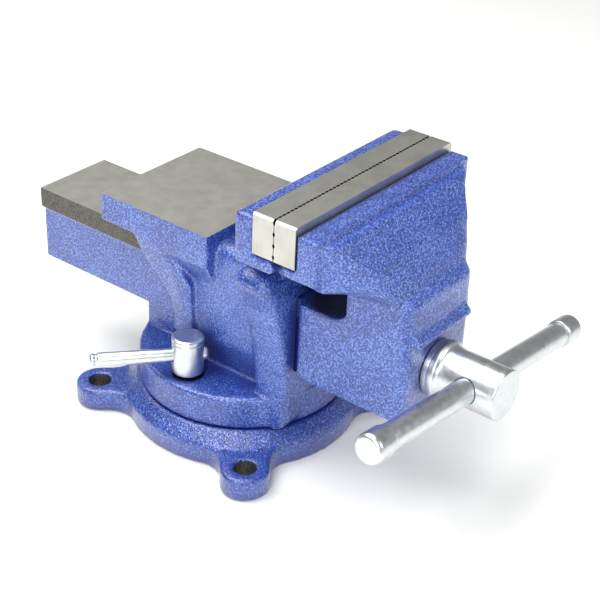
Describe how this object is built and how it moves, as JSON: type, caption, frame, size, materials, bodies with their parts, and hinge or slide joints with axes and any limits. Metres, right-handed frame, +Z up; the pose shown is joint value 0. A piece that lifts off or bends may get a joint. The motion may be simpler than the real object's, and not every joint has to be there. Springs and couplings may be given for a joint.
{
  "type": "bench vise",
  "caption": "Cast bench vise with a swivel base, steel jaw plates, a small anvil, a hollow sliding beam, a screw spindle with a sliding handle, and two swivel locks.",
  "frame": {"origin": "swivel axis at the underside of the base, on the bench", "axes": "+X along the jaws, -Y towards the operator and the handle, +Y towards the anvil and the rear end of the beam, +Z up"},
  "size_m": [0.2231, 0.3423, 0.1894],
  "materials": {
    "enamel": "hammered blue stoving enamel on cast iron, with the working faces ground bare",
    "jaw_steel": "ground hardened steel",
    "zinc": "bright zinc plate on turned steel",
    "black_steel": "black oxide",
    "cast_iron": "as cast and machined"
  },
  "bodies": {
    "base": {"swivel_base": "enamel"},
    "body": {"vise_body": "enamel", "fixed_jaw_plate": "jaw_steel", "fixed_plate_screw_left": "black_steel", "fixed_plate_screw_right": "black_steel", "spindle_nut": "cast_iron", "nut_bolt": "black_steel", "nut_bolt_washer": "black_steel", "lock_bolt_left": "black_steel", "lock_bolt_right": "black_steel", "lock_washer_left": "black_steel", "lock_washer_right": "black_steel"},
    "slide": {"moving_jaw": "enamel", "moving_jaw_plate": "jaw_steel", "moving_plate_screw_left": "black_steel", "moving_plate_screw_right": "black_steel", "thrust_washer": "zinc", "spindle_spring": "black_steel"},
    "screw": {"spindle": "zinc", "spring_washer": "black_steel", "spindle_pin": "black_steel"},
    "handle": {"handle_bar": "zinc", "handle_knob_left": "zinc", "handle_knob_right": "zinc"},
    "lock_left": {"lock_nut_left": "zinc", "lock_bar_left": "zinc"},
    "lock_right": {"lock_nut_right": "zinc", "lock_bar_right": "zinc"}
  },
  "joints": [
    {"name": "swivel", "type": "hinge", "parent": "base", "child": "body", "pos_m": [0, 0, 0.0234], "axis": [0, 0, 1], "continuous": true},
    {"name": "jaw_slide", "type": "slide", "parent": "body", "child": "slide", "axis": [0, -1, 0], "range_m": [0, 0.15]},
    {"name": "spindle_turn", "type": "hinge", "parent": "slide", "child": "screw", "pos_m": [0, -0.19, 0.0886], "axis": [0, -1, 0], "range_deg": [0, 10800]},
    {"name": "handle_slide", "type": "slide", "parent": "screw", "child": "handle", "axis": [0.9917, 0, -0.1288], "range_m": [-0.08, 0.076]},
    {"name": "lock_left_turn", "type": "hinge", "parent": "body", "child": "lock_left", "pos_m": [-0.0511, 0.0025, 0.059], "axis": [0, 0, 1], "range_deg": [-40, 100]},
    {"name": "lock_right_turn", "type": "hinge", "parent": "body", "child": "lock_right", "pos_m": [0.0511, 0.0025, 0.059], "axis": [0, 0, 1], "range_deg": [-100, 40]}
  ],
  "couplings": [
    {"joint": "jaw_slide", "follows": "spindle_turn", "m_per_rad": 0.00079577}
  ]
}
